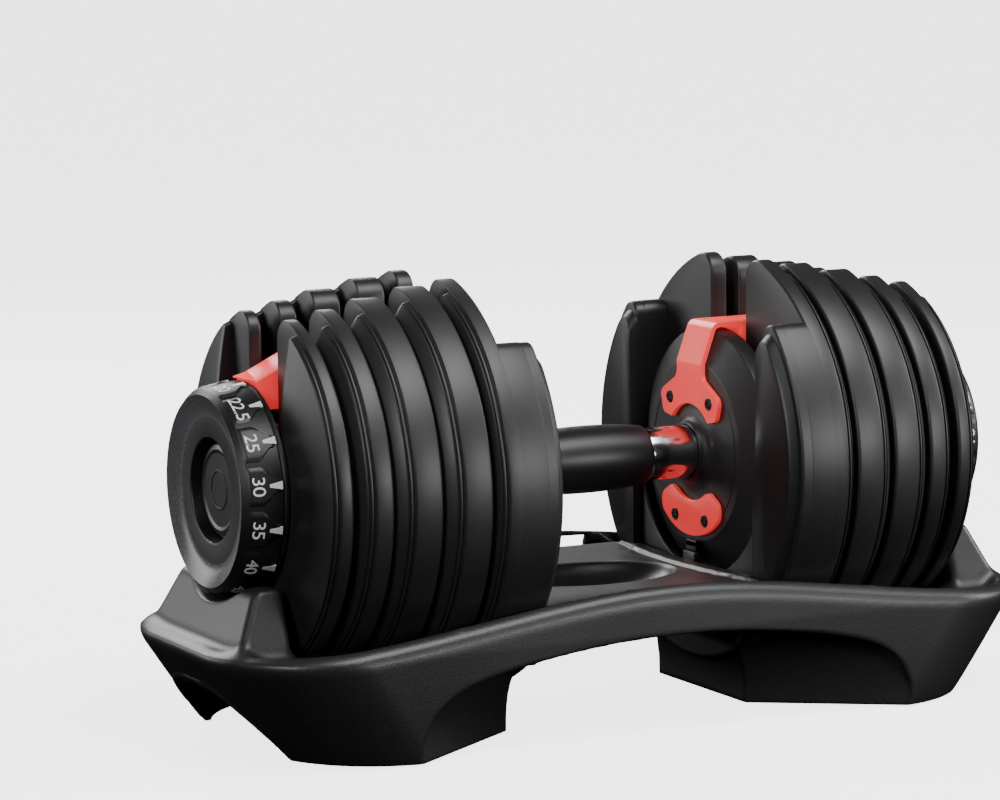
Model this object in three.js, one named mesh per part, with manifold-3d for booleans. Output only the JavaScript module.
// Adjustable dumbbell in its cradle, dialled to its middle setting.
// Frame: millimetres, +X along the handle, -Y towards the person who lifts it, +Z up.
// The origin is on the floor under the middle of the cradle.
import * as THREE from "three";
import { mergeVertices } from "three/addons/utils/BufferGeometryUtils.js";
import { ConvexGeometry } from "three/addons/geometries/ConvexGeometry.js";
import Module from "manifold-3d";

const wasm = await Module();
wasm.setup();

// ---- driving dimensions ----
const AXIS_Z = 121; // height of the handle's axis above the floor
const GAP = 0.3; // between pieces that touch
const FINE = 32; // sides of a large round
const COARSE = 16; // sides of a small round
const SMALL = 8; // sides of a screw

// Plates, outermost first. x0 is the face towards the hand, band the end of the flat rim,
// ridge the end of the step, x1 the outer face, r the rim radius, face the outer face's radius.
const PLATES = [
  { name: "plate_1_25lb", x0: 162, band: 168.4, ridge: 171, x1: 177.8, r: 85, face: 50 },
  { name: "plate_2_5lb", x0: 143.5, band: 152.3, ridge: 154.7, x1: 160, r: 88.5, face: 79 },
  { name: "plate_5lb", x0: 120.8, band: 134.5, ridge: 138, x1: 142.2, r: 92.5, face: 86 },
  { name: "plate_7_5lb", x0: 97.5, band: 111.6, ridge: 115.3, x1: 119.4, r: 96.5, face: 90 },
  { name: "plate_inner_7_5lb", x0: 60.2, band: 90.5, ridge: 93, x1: 95.7, r: 99, face: 94 },
];
const RIM_FILLET = 1.5;
const RIDGE_DROP = 2;
const SLOT_HALF = 16; // half width of the slot that the handle drops into
const HORN_ROUND = 10; // radius of the rounded tip on each side of the slot
const RECESS_HALF = 37; // half width of the recess for a selector disc
const BAY_HALF = 61.6; // half width of the bay for the support disc
const BAY_X = 82;
const SHELF = { x: 63.4, half: 58 }; // where the deck runs in under the support disc
const TAB = { y0: 34.4, z0: 8.2, z1: 12.4 };

// Handle
const GRIP = { half: 32, rMid: 16.5, rEnd: 14.4 };
const TUBE = { r: 12.2, collar: 13, half: 65, bore: 6.4 };
const ROD = { r: 6, half: 187 };
const DISC = { x0: 62, x1: 78, flat: 45, r: 60.5, edgeX: 69.4, wall: 2.6 };
const HUB = { x: 57.2, r: 14.5, base: 21 };
const COVER = { x0: 78.3, x1: 80.9, r: 57 };
const BRACKET = { x0: 59.4, x1: 61.7 };
const SCREW_AT = [[19, 25], [-19, 25], [14.5, -33.5], [-14.5, -33.5]];
const SCREW = { head: 3.2, shank: 1.5, x0: 58.7, neck: 60.3, x1: 66.4 };
const SPINE = { half: 12, top: 64.5, low: 44, thin: 61.3, x: 82.6 };

// Selector
const SPINDLE = { x0: 65.2, x1: 188.4, r: 9.4, bore: 6.3 };
const SELECTOR = { r: 35, web: 1.9, lip: 2, lipInner: 31 };
const SETTINGS = 15;
const DIAL = {
  back: 178.2,
  rBack: 50.4,
  bandIn: 181,
  bandOut: 197.6,
  rFront: 47.6,
  face: 200,
  rFace: 45,
  flat: 34.5,
  flatX: 196.2,
  hole: 24.5,
  holeX: 189,
  web: 186,
};
const CAP = { r: 21.6, x0: 189.3, x1: 192.4 };
const WHEEL = { x0: 69.6, x1: 72.4, r: 24, notch: 2.8, count: 60 };
const LOCK = { travel: 2.0, half: 29, window: 25.2, footZ: -50, tooth: 0.45 };

// Cradle
const RIM = { half: 219, wide: 93, corner: 65, end: 51, rise: 22, spread: 135 };
const FOOT = { half: 185, z: 1 };
const WALL = 3.6;
const DECK = { mid: 65, end: 48, rim: 9 };
const TOWER = { x0: 180, x1: 199, top: 80, halfTop: 44, halfBase: 62 };

// ---- materials ----
function paint(color, roughness, metalness) {
  return new THREE.MeshStandardMaterial({ color, roughness, metalness });
}
const PLATE_BLACK = paint(0x26272a, 0.45, 0.1);
const TRAY_GREY = paint(0x2e3033, 0.5, 0);
const DISC_GREY = paint(0x232426, 0.55, 0);
const BRIDGE_RED = paint(0xe8403e, 0.4, 0);
const CHROME = paint(0xc9ccd0, 0.12, 1);
const GRIP_BLACK = paint(0x121214, 0.6, 0);
const STEEL = paint(0x8d9095, 0.35, 1);
const DIAL_BLACK = paint(0x1a1b1d, 0.4, 0);
const RUBBER = paint(0x101010, 0.9, 0);
const NYLON = paint(0xd8d6cc, 0.6, 0);

// ---- solids ----
function solid(geometry) {
  const bare = new THREE.BufferGeometry();
  bare.setAttribute("position", geometry.getAttribute("position").clone());
  if (geometry.index) bare.setIndex(geometry.index.clone());
  const merged = mergeVertices(bare, 1e-4);
  return new wasm.Manifold(
    new wasm.Mesh({
      numProp: 3,
      vertProperties: Float32Array.from(merged.attributes.position.array),
      triVerts: Uint32Array.from(merged.index.array),
    })
  );
}

function geometryOf(body) {
  const mesh = body.getMesh();
  const geometry = new THREE.BufferGeometry();
  geometry.setAttribute("position", new THREE.BufferAttribute(Float32Array.from(mesh.vertProperties), 3));
  geometry.setIndex(new THREE.BufferAttribute(Uint32Array.from(mesh.triVerts), 1));
  geometry.computeVertexNormals();
  return geometry;
}

// A closed profile of [x, radius] points turned about the handle's axis.
function turned(profile, sides) {
  const points = profile.map(([x, r]) => new THREE.Vector2(r, x));
  points.push(points[0].clone());
  const geometry = new THREE.LatheGeometry(points, sides);
  geometry.rotateZ(-Math.PI / 2);
  geometry.scale(1, -1, 1);
  flip(geometry);
  return solid(orient(geometry));
}

function flip(geometry) {
  const index = geometry.index.array;
  for (let i = 0; i < index.length; i += 3) {
    const keep = index[i];
    index[i] = index[i + 1];
    index[i + 1] = keep;
  }
}

// Turns the faces round when a closed geometry's volume comes out negative.
function orient(geometry) {
  const index = geometry.index.array;
  const p = geometry.attributes.position;
  const [a, b, c] = [new THREE.Vector3(), new THREE.Vector3(), new THREE.Vector3()];
  let volume = 0;
  for (let i = 0; i < index.length; i += 3) {
    a.fromBufferAttribute(p, index[i]);
    b.fromBufferAttribute(p, index[i + 1]);
    c.fromBufferAttribute(p, index[i + 2]);
    volume += a.dot(b.cross(c));
  }
  if (volume < 0) flip(geometry);
  return geometry;
}

function cylinder(x0, x1, r, sides) {
  return turned([[x0, 0], [x0, r], [x1, r], [x1, 0]], sides);
}

function block(x0, x1, y0, y1, z0, z1) {
  const geometry = new THREE.BoxGeometry(x1 - x0, y1 - y0, z1 - z0);
  geometry.translate((x0 + x1) / 2, (y0 + y1) / 2, (z0 + z1) / 2);
  return solid(geometry);
}

function extruded(outline, depth, curveSegments = 8) {
  const closed = () => new THREE.Shape(outline.map(([u, v]) => new THREE.Vector2(u, v)));
  const shape = outline instanceof THREE.Shape ? outline : closed();
  return new THREE.ExtrudeGeometry(shape, { depth, bevelEnabled: false, steps: 1, curveSegments });
}

// The outline's coordinates are (y, z), (x, z) and (x, y) in these three.
function alongX(outline, x0, x1, curveSegments) {
  const geometry = extruded(outline, x1 - x0, curveSegments);
  geometry.applyMatrix4(new THREE.Matrix4().set(0, 0, 1, x0, 1, 0, 0, 0, 0, 1, 0, 0, 0, 0, 0, 1));
  return solid(geometry);
}

function alongY(outline, y0, y1) {
  const geometry = extruded(outline, y1 - y0);
  geometry.applyMatrix4(new THREE.Matrix4().set(1, 0, 0, 0, 0, 0, -1, y1, 0, 1, 0, 0, 0, 0, 0, 1));
  return solid(geometry);
}

function alongZ(outline, z0, z1, curveSegments) {
  const geometry = extruded(outline, z1 - z0, curveSegments);
  geometry.translate(0, 0, z0);
  return solid(geometry);
}

function hullOf(points) {
  return solid(new ConvexGeometry(points.map(([x, y, z]) => new THREE.Vector3(x, y, z))));
}

// A slot, open at the top, whose round bottom is about the axis. z is measured from the axis.
function uShape(half, top) {
  const shape = new THREE.Shape();
  shape.moveTo(half, top);
  shape.lineTo(-half, top);
  shape.lineTo(-half, 0);
  shape.absarc(0, 0, half, Math.PI, 2 * Math.PI, false);
  shape.lineTo(half, top);
  return shape;
}

const OVER = 130; // past everything

function mirrorSide(body, side) {
  return side > 0 ? body : body.mirror([1, 0, 0]);
}

const object = new THREE.Group();
const handleAxis = new THREE.Group();
handleAxis.position.set(0, 0, AXIS_Z);
object.add(handleAxis);

function add(parent, name, body, material) {
  const mesh = new THREE.Mesh(geometryOf(body), material);
  mesh.name = name;
  parent.add(mesh);
}

// ---- plates ----
function hornCut(x0, x1, r, sign) {
  // What is cut away so that the tip beside the slot is round.
  const centreY = SLOT_HALF + HORN_ROUND;
  const centreZ = Math.sqrt((r - HORN_ROUND) ** 2 - centreY ** 2);
  const touch = Math.atan2(centreZ, centreY);
  const startY = centreY + HORN_ROUND * Math.cos(touch);
  const startZ = centreZ + HORN_ROUND * Math.sin(touch);
  const steps = 4;
  const arc = [];
  for (let i = 0; i <= steps; i++) {
    const angle = touch + ((Math.PI - touch) * i) / steps;
    arc.push([sign * (centreY + HORN_ROUND * Math.cos(angle)), centreZ + HORN_ROUND * Math.sin(angle)]);
  }
  const reach = 3;
  const outline = [
    [sign * startY * (1 + reach / r), startZ * (1 + reach / r)],
    ...arc,
    [sign * (SLOT_HALF - 1), centreZ],
    [sign * (SLOT_HALF - 1), r + reach],
  ];
  return alongX(sign > 0 ? outline : outline.reverse(), x0 - 1, x1 + 1);
}

function plate(p) {
  const profile = [
    [p.x0, 0],
    [p.x0, p.r - RIM_FILLET],
    [p.x0 + RIM_FILLET, p.r],
    [p.band, p.r],
    [p.ridge, p.r - RIDGE_DROP],
    [p.x1, p.face],
    [p.x1, 0],
  ];
  let body = turned(profile, FINE);
  body = body.subtract(alongX(uShape(SLOT_HALF, OVER), p.x0 - 1, p.x1 + 1));
  let recess = alongX(uShape(RECESS_HALF, OVER), p.band, p.x1 + 1, 10);
  recess = recess.subtract(block(p.band - 1, p.x1 - 0.2, -RECESS_HALF - 1, -TAB.y0, TAB.z0, TAB.z1));
  body = body.subtract(recess);
  if (p.x0 < BAY_X) {
    body = body.subtract(alongX(uShape(BAY_HALF, OVER), p.x0 - 1, BAY_X, 12));
    body = body.subtract(block(p.x0 - 1, SHELF.x + 1, -SHELF.half - 1, SHELF.half + 1, -OVER, 0));
  }
  const tipX0 = p.x0 < BAY_X ? BAY_X : p.x0;
  for (const sign of [1, -1]) body = body.subtract(hornCut(tipX0, p.x1, p.r, sign));
  return body;
}

// ---- selector discs: a web with a lip over the settings that pick up the plate ----
const PLATE_WEIGHTS = [1.25, 2.5, 5, 7.5, 7.5];
const DIAL_WEIGHTS = [5, 7.5, 10, 12.5, 15, 17.5, 20, 22.5, 25, 30, 35, 40, 45, 50, 52.5];
const HANDLE_WEIGHT = 5;
const SHOWN = 20;

// The plates that add up to half of what a setting needs, as a list of true and false.
function pickedAt(setting) {
  const wanted = (setting - HANDLE_WEIGHT) / 2;
  for (let mask = 0; mask < 2 ** PLATE_WEIGHTS.length; mask++) {
    const picked = PLATE_WEIGHTS.map((_, i) => Boolean(mask & (1 << i)));
    const sum = PLATE_WEIGHTS.reduce((total, weight, i) => total + (picked[i] ? weight : 0), 0);
    if (Math.abs(sum - wanted) < 0.01) return picked;
  }
  throw new Error(`no set of plates makes ${setting}`);
}

function selector(index) {
  const p = PLATES[index];
  const x0 = p.band + 0.5;
  const pitch = (2 * Math.PI) / SETTINGS;
  const shown = DIAL_WEIGHTS.indexOf(SHOWN);
  const picks = DIAL_WEIGHTS.map((setting) => pickedAt(setting)[index]);
  let body = cylinder(x0, x0 + SELECTOR.web, SELECTOR.lipInner + 0.5, FINE);
  // One lip for each run of settings that pick this plate up. The reading place is the front
  // of the disc, where the plate's tab is.
  for (let first = 0; first < SETTINGS; first++) {
    if (!picks[first] || picks[first - 1]) continue;
    let last = first;
    while (picks[last + 1]) last++;
    const from = Math.PI + (first - shown - 0.5) * pitch;
    const steps = 2 * (last - first + 1);
    const outline = [];
    for (let i = 0; i <= steps; i++) {
      const angle = from + (i * pitch) / 2;
      outline.push([SELECTOR.r * Math.cos(angle), SELECTOR.r * Math.sin(angle)]);
    }
    for (let i = steps; i >= 0; i--) {
      const angle = from + (i * pitch) / 2;
      outline.push([SELECTOR.lipInner * Math.cos(angle), SELECTOR.lipInner * Math.sin(angle)]);
    }
    body = body.add(alongX(outline, x0, x0 + SELECTOR.web + SELECTOR.lip));
  }
  return body.subtract(cylinder(x0 - 1, x0 + 5, SPINDLE.r + GAP, COARSE));
}

// ---- handle pieces ----
function grip() {
  const outer = [];
  const steps = 3;
  for (let i = -steps; i <= steps; i++) {
    const t = i / steps;
    outer.push([t * GRIP.half, GRIP.rEnd + (GRIP.rMid - GRIP.rEnd) * (1 - t * t)]);
  }
  const inner = TUBE.r + GAP;
  return turned([[-GRIP.half, inner], ...outer, [GRIP.half, inner]], COARSE);
}

function handleTube() {
  const collar = GRIP.half + GAP;
  const hub = HUB.x + 1;
  return turned(
    [
      [-TUBE.half, TUBE.bore],
      [-TUBE.half, TUBE.r],
      [-hub, TUBE.r],
      [-hub, TUBE.collar],
      [-collar, TUBE.collar],
      [-collar, TUBE.r],
      [collar, TUBE.r],
      [collar, TUBE.collar],
      [hub, TUBE.collar],
      [hub, TUBE.r],
      [TUBE.half, TUBE.r],
      [TUBE.half, TUBE.bore],
    ],
    COARSE
  );
}

function supportDisc() {
  const bore = TUBE.r + GAP;
  let body = turned(
    [
      [HUB.x, TUBE.collar + GAP],
      [HUB.x, HUB.r],
      [DISC.x0 - 1.2, HUB.base - 3],
      [DISC.x0, HUB.base],
      [DISC.x0, DISC.flat],
      [DISC.edgeX, DISC.r],
      [DISC.x1, DISC.r],
      [DISC.x1, DISC.r - DISC.wall],
      [DISC.edgeX + 1.4, DISC.r - DISC.wall],
      [DISC.x0 + DISC.wall, DISC.flat - 1],
      [DISC.x0 + DISC.wall, bore],
      [HUB.x + 1.2, bore],
      [HUB.x + 1.2, TUBE.collar + GAP],
    ],
    FINE
  );
  for (const [y, z] of SCREW_AT) {
    body = body.subtract(round(DISC.x0 - 2, DISC.x0 + 4, y, z, SCREW.shank + GAP));
  }
  // The way out for the lock slider's foot.
  return body.subtract(block(DISC.x0 - 4, DISC.edgeX + 4, -6, 6, LOCK.footZ - LOCK.travel - 0.8, -42.6));
}

// A round bar along X at (y, z).
function round(x0, x1, y, z, r) {
  return cylinder(x0, x1, r, SMALL).translate([0, y, z]);
}

function counterbored(body, points) {
  let out = body;
  for (const [y, z] of points) {
    out = out.subtract(round(BRACKET.x0 - 1, SCREW.neck + GAP, y, z, SCREW.head + GAP));
    out = out.subtract(round(BRACKET.x0 - 1, BRACKET.x1 + 1, y, z, SCREW.shank + GAP));
  }
  return out;
}

function screw(y, z) {
  const head = round(SCREW.x0, SCREW.neck, y, z, SCREW.head);
  return head.add(round(SCREW.neck - 0.2, SCREW.x1, y, z, SCREW.shank));
}

function bridge() {
  // The ears, with an arc that clears the hub.
  const ears = new THREE.Shape();
  ears.moveTo(-12, 46);
  ears.lineTo(-12, 37);
  ears.lineTo(-28, 29);
  ears.lineTo(-27, 23);
  ears.lineTo(-19, 15.5);
  ears.absarc(0, 0, 24.5, Math.PI - Math.atan2(15.5, 19), Math.atan2(15.5, 19), true);
  ears.lineTo(27, 23);
  ears.lineTo(28, 29);
  ears.lineTo(12, 37);
  ears.lineTo(12, 46);
  let body = alongX(ears, BRACKET.x0, BRACKET.x1);
  const rise = [
    [BRACKET.x0, 44],
    [BRACKET.x1, 44],
    [BRACKET.x1, 45.2],
    [DISC.edgeX - 0.4, SPINE.thin],
    [SPINE.x, SPINE.thin],
    [SPINE.x, SPINE.low],
    [150, SPINE.low],
    [150, SPINE.top],
    [68, SPINE.top],
    [65.4, 62.6],
    [BRACKET.x0, 47],
  ];
  body = body.add(alongY(rise, -SPINE.half, SPINE.half));
  const h = SPINE.half;
  const run = hullOf([
    [149, -h, SPINE.low], [149, h, SPINE.low], [149, -h, SPINE.top], [149, h, SPINE.top],
    [167, -h, 37.6], [167, h, 37.6], [167, -h, 52], [167, h, 52], [167, 0, 58.4],
  ]);
  const tip = hullOf([
    [166.5, -h, 37.6], [166.5, h, 37.6], [166.5, -h, 52], [166.5, h, 52], [166.5, 0, 58.4],
    [171.5, -h, 37.6], [171.5, h, 37.6], [176.8, -h, 49], [176.8, h, 49], [184, 0, 52.8], [184, 0, 51],
  ]);
  body = body.add(run).add(tip);
  body = body.subtract(cylinder(DIAL.back - 0.5, 190, DIAL.rBack + 0.5, FINE));
  return counterbored(body, SCREW_AT.slice(0, 2));
}

function kidneyPlate() {
  const shape = new THREE.Shape();
  shape.moveTo(-22, -24.5);
  shape.lineTo(-27.5, -29);
  shape.lineTo(-25, -34.5);
  shape.absarc(0, 0, 42.5, Math.PI + Math.atan2(34.5, 25), 2 * Math.PI - Math.atan2(34.5, 25), false);
  shape.lineTo(27.5, -29);
  shape.lineTo(22, -24.5);
  shape.lineTo(15, -26.5);
  shape.absarc(0, 0, 30.5, -Math.atan2(26.5, 15), -Math.PI + Math.atan2(26.5, 15), true);
  shape.lineTo(-22, -24.5);
  let body = alongX(shape, BRACKET.x0, BRACKET.x1);
  // Room for the lock slider's foot.
  body = body.subtract(block(BRACKET.x0 - 1, BRACKET.x1 + 1, -6.5, 6.5, -60, -41));
  return counterbored(body, SCREW_AT.slice(2));
}

// ---- turning pieces ----
function dial() {
  return turned(
    [
      [DIAL.back, DIAL.rBack - 3],
      [DIAL.back, DIAL.rBack],
      [DIAL.bandIn, DIAL.rBack],
      [DIAL.bandOut, DIAL.rFront],
      [DIAL.face, DIAL.rFace],
      [DIAL.flatX, DIAL.flat],
      [DIAL.flatX, DIAL.hole],
      [DIAL.holeX, DIAL.hole],
      [DIAL.holeX, SPINDLE.r + GAP],
      [DIAL.web, SPINDLE.r + GAP],
      [DIAL.web, 43],
      [182, 46],
    ],
    FINE
  );
}

function dialCap() {
  return turned(
    [[CAP.x0, 0], [CAP.x0, CAP.r], [CAP.x1 - 0.8, CAP.r], [CAP.x1, CAP.r - 3], [CAP.x1, 0]],
    COARSE
  );
}

// A length of tube along X.
function sleeve(x0, x1, bore, r, sides) {
  return turned([[x0, bore], [x0, r], [x1, r], [x1, bore]], sides);
}

function lockWheel() {
  const outline = [];
  for (let i = 0; i < WHEEL.count; i++) {
    // A notch is centred on the top.
    const middle = Math.PI / 2 + (i * 2 * Math.PI) / WHEEL.count;
    const half = Math.PI / WHEEL.count;
    for (const [offset, r] of [[0, WHEEL.r - WHEEL.notch], [half, WHEEL.r]]) {
      outline.push([r * Math.cos(middle + offset), r * Math.sin(middle + offset)]);
    }
  }
  const hole = cylinder(WHEEL.x0 - 1, WHEEL.x1 + 1, SPINDLE.r + GAP, COARSE);
  return alongX(outline, WHEEL.x0, WHEEL.x1).subtract(hole);
}

function lockSlider() {
  const outer = LOCK.half;
  const inner = LOCK.window + 0.6;
  const topIn = WHEEL.r + LOCK.travel + 1.2;
  const topOut = topIn + 4;
  const lowIn = -WHEEL.r - 1.2;
  let body = block(WHEEL.x0 + 0.2, WHEEL.x1 - 0.2, -outer, outer, lowIn - 4, topOut);
  body = body.subtract(block(WHEEL.x0 - 1, WHEEL.x1 + 1, -inner, inner, lowIn, topIn));
  const tooth = hullOf(
    [WHEEL.x0 + 0.2, WHEEL.x1 - 0.2].flatMap((x) => [
      [x, -LOCK.tooth, WHEEL.r + 0.35],
      [x, LOCK.tooth, WHEEL.r + 0.35],
      [x, -1.5, topIn + 1],
      [x, 1.5, topIn + 1],
    ])
  );
  body = body.add(tooth);
  body = body.add(block(WHEEL.x0 + 0.2, WHEEL.x1 - 0.2, -5, 5, -48, lowIn - 3));
  body = body.add(block(BRACKET.x0 + 0.4, WHEEL.x1 - 0.2, -5, 5, -48, -44.6));
  return body.add(block(BRACKET.x0 + 0.4, BRACKET.x0 + 4, -5, 5, LOCK.footZ, -45));
}

function lockSpring() {
  const low = WHEEL.r + LOCK.travel + 1.2 + 4 + GAP;
  const ring = cylinder(-7, 7, 3.1, 10).subtract(cylinder(-8, 8, 2.1, 10));
  const high = DISC.r - DISC.wall - 4.5;
  const standing = ring.rotate([0, -90, 0]).scale([0.85, 1, (high - low) / 14]);
  return standing.translate([(WHEEL.x0 + WHEEL.x1) / 2 + 1, 0, (high + low) / 2]);
}

function discCover() {
  const body = cylinder(COVER.x0, COVER.x1, COVER.r, FINE);
  return body.subtract(cylinder(COVER.x0 - 1, COVER.x1 + 1, SPINDLE.r + 0.6, COARSE));
}

// ---- cradle ----
function rimHeight(x) {
  return RIM.end + RIM.rise * Math.exp(-((x / RIM.spread) ** 2));
}

function roundedRect(halfX, halfY, corner) {
  const shape = new THREE.Shape();
  shape.moveTo(halfX, halfY - corner);
  shape.absarc(halfX - corner, halfY - corner, corner, 0, Math.PI / 2, false);
  shape.absarc(-halfX + corner, halfY - corner, corner, Math.PI / 2, Math.PI, false);
  shape.absarc(-halfX + corner, -halfY + corner, corner, Math.PI, 1.5 * Math.PI, false);
  shape.absarc(halfX - corner, -halfY + corner, corner, 1.5 * Math.PI, 2 * Math.PI, false);
  return shape;
}

function sideProfile(inset, heightAt, low) {
  // The side view: ends that lean out as they rise, and a top that is high in the middle.
  const lean = (RIM.half - FOOT.half) / RIM.end;
  const outline = [[-FOOT.half - lean * low + inset, low], [FOOT.half + lean * low - inset, low]];
  const stations = 12;
  for (let i = stations; i >= -stations; i--) {
    const x = ((RIM.half - inset) * i) / stations;
    outline.push([x, heightAt(x)]);
  }
  return outline;
}

function deckHeight(x) {
  const t = Math.min(1, Math.max(0, (Math.abs(x) - 58) / 70));
  return DECK.mid + (DECK.end - DECK.mid) * t * t * (3 - 2 * t);
}

function troughs(grow) {
  let body = null;
  for (const p of PLATES) {
    let cut = cylinder(p.x0 - 1 - grow, p.x1 + 1 + grow, p.r + 0.5 + grow, FINE);
    const shelf = SHELF.half - grow;
    if (p.x0 < SHELF.x) cut = cut.subtract(block(0, SHELF.x - grow, -shelf, shelf, -OVER, 0));
    body = body ? body.add(cut) : cut;
  }
  return body.translate([0, 0, AXIS_Z]);
}

function bothSides(body) {
  return body.add(body.mirror([1, 0, 0]));
}

function hollowEllipsoid(grow) {
  const ball = solid(new THREE.SphereGeometry(1, 20, 10));
  return ball.scale([46 + grow, 30 + grow, 15 + grow]).translate([0, -2, DECK.mid + 1]);
}

function cradle() {
  const sideY = RIM.wide + 1;
  const plan = alongZ(roundedRect(RIM.half, RIM.wide, RIM.corner), 0, OVER, 7);
  let body = alongY(sideProfile(0, rimHeight, FOOT.z), -sideY, sideY).intersect(plan);
  // The tray inside the rim.
  const over = [...sideProfile(0, deckHeight, 0).slice(2)];
  over.push([-RIM.half, OVER], [RIM.half, OVER]);
  const tray = alongY(over, -sideY, sideY);
  const inRim = roundedRect(RIM.half - DECK.rim, RIM.wide - 7, RIM.corner - 8);
  body = body.subtract(tray.intersect(alongZ(inRim, 0, OVER, 6)));
  // The dial saddles.
  const tower = alongX(
    [[-TOWER.halfBase, 30], [TOWER.halfBase, 30], [TOWER.halfTop, TOWER.top], [-TOWER.halfTop, TOWER.top]],
    TOWER.x0,
    TOWER.x1
  );
  const leaning = [[TOWER.x0 - 1, 30], [205, 30], [205, 46], [TOWER.x1 - 8, 84], [TOWER.x0 - 1, 84]];
  body = body.add(bothSides(tower.intersect(alongY(leaning, -sideY, sideY))));
  // The hollow underside, kept clear of the troughs and the hand hollow.
  const lowInside = sideProfile(WALL, (x) => deckHeight(x) - WALL, 0);
  let inside = alongY(lowInside, -sideY, sideY);
  const inWall = roundedRect(RIM.half - WALL, RIM.wide - WALL, RIM.corner - WALL);
  inside = inside.intersect(alongZ(inWall, -1, OVER, 6));
  inside = inside.subtract(bothSides(troughs(WALL)));
  inside = inside.subtract(hollowEllipsoid(WALL));
  body = body.subtract(inside);
  // The walls that carry the inner ends of the troughs down to the floor.
  const wall = [[132, -88], [67, -42], [67, 42], [132, 88], [132, 84], [70, 40.4], [70, -40.4], [132, -84]];
  body = body.add(bothSides(alongZ(wall, FOOT.z, 46)));
  body = body.subtract(bothSides(troughs(0)));
  body = body.subtract(hollowEllipsoid(0));
  const saddle = cylinder(TOWER.x0 - 2.1, TOWER.x1 + 3, DIAL.rBack + 0.9, FINE);
  body = body.subtract(bothSides(saddle.translate([0, 0, AXIS_Z])));
  // The arches at the front and back, and at both ends.
  const halfArch = [[130, -1], [125, 20], [115, 33], [84, 41.5], [45, 47]];
  const otherHalf = halfArch.map(([x, z]) => [-x, z]).reverse();
  const arch = [...halfArch, [0, 49], ...otherHalf];
  for (const [near, far] of [[86, 96], [-96, -86]]) body = body.subtract(alongY(arch, near, far));
  // The hand slots between the deck and the rim.
  for (const [near, far] of [[77, 86], [-86, -77]]) body = body.subtract(block(-50, 50, near, far, 40, 90));
  // The long opening under the rail at the back.
  const opening = [[-48, 60], [48, 60], [46, 67.2], [25, 68.5], [-25, 68.5], [-46, 67.2]];
  body = body.subtract(alongY(opening, 78, 96));
  const endArch = [[-50, -1], [50, -1], [42, 16], [26, 26], [0, 29], [-26, 26], [-42, 16]];
  body = body.subtract(bothSides(alongX(endArch, 150, 230)));
  // Seats for the rubber feet.
  for (const [x, y] of FEET) {
    const seat = block(x - 13, x + 13, y - 9, y + 9, 2.4, 46);
    body = body.add(seat.subtract(bothSides(troughs(-0.1))));
  }
  return body;
}

const FEET = [[146, 64], [-146, 64], [146, -64], [-146, -64]];
const FOOT_NAMES = ["foot_rear_right", "foot_rear_left", "foot_front_right", "foot_front_left"];

function lockKey() {
  const top = AXIS_Z + LOCK.footZ - GAP;
  return block(58.6, 63, -6, 6, DECK.mid + GAP, top);
}

// ---- the assembly ----
add(handleAxis, "grip", grip(), GRIP_BLACK);
add(handleAxis, "handle_tube", handleTube(), CHROME);
add(handleAxis, "axle_rod", cylinder(-ROD.half, ROD.half, ROD.r, COARSE), STEEL);
const SIDES = [["left", -1], ["right", 1]];
for (const [side, sign] of SIDES) {
  const put = (name, body, material) => add(handleAxis, `${side}_${name}`, mirrorSide(body, sign), material);
  put("support_disc", supportDisc(), DISC_GREY);
  put("disc_cover", discCover(), DISC_GREY);
  put("bridge", bridge(), BRIDGE_RED);
  put("kidney_plate", kidneyPlate(), BRIDGE_RED);
  SCREW_AT.forEach(([y, z], i) => put(`bracket_screw_${i + 1}`, screw(y, z), STEEL));
  put("dial", dial(), DIAL_BLACK);
  put("dial_cap", dialCap(), DIAL_BLACK);
  put("spindle", sleeve(SPINDLE.x0, SPINDLE.x1, SPINDLE.bore, SPINDLE.r, COARSE), STEEL);
  put("lock_wheel", lockWheel(), NYLON);
  put("lock_slider", lockSlider(), NYLON);
  put("lock_spring", lockSpring(), STEEL);
  PLATES.forEach((p, i) => {
    put(p.name, plate(p), PLATE_BLACK);
    put(`selector_disc_${i + 1}`, selector(i), NYLON);
  });
}

const shell = cradle();
add(object, "cradle_shell", shell, TRAY_GREY);
for (const [side, sign] of SIDES) add(object, `${side}_lock_key`, mirrorSide(lockKey(), sign), TRAY_GREY);
FEET.forEach(([x, y], i) => add(object, FOOT_NAMES[i], block(x - 11, x + 11, y - 7, y + 7, 0, 2.1), RUBBER));

export default object;
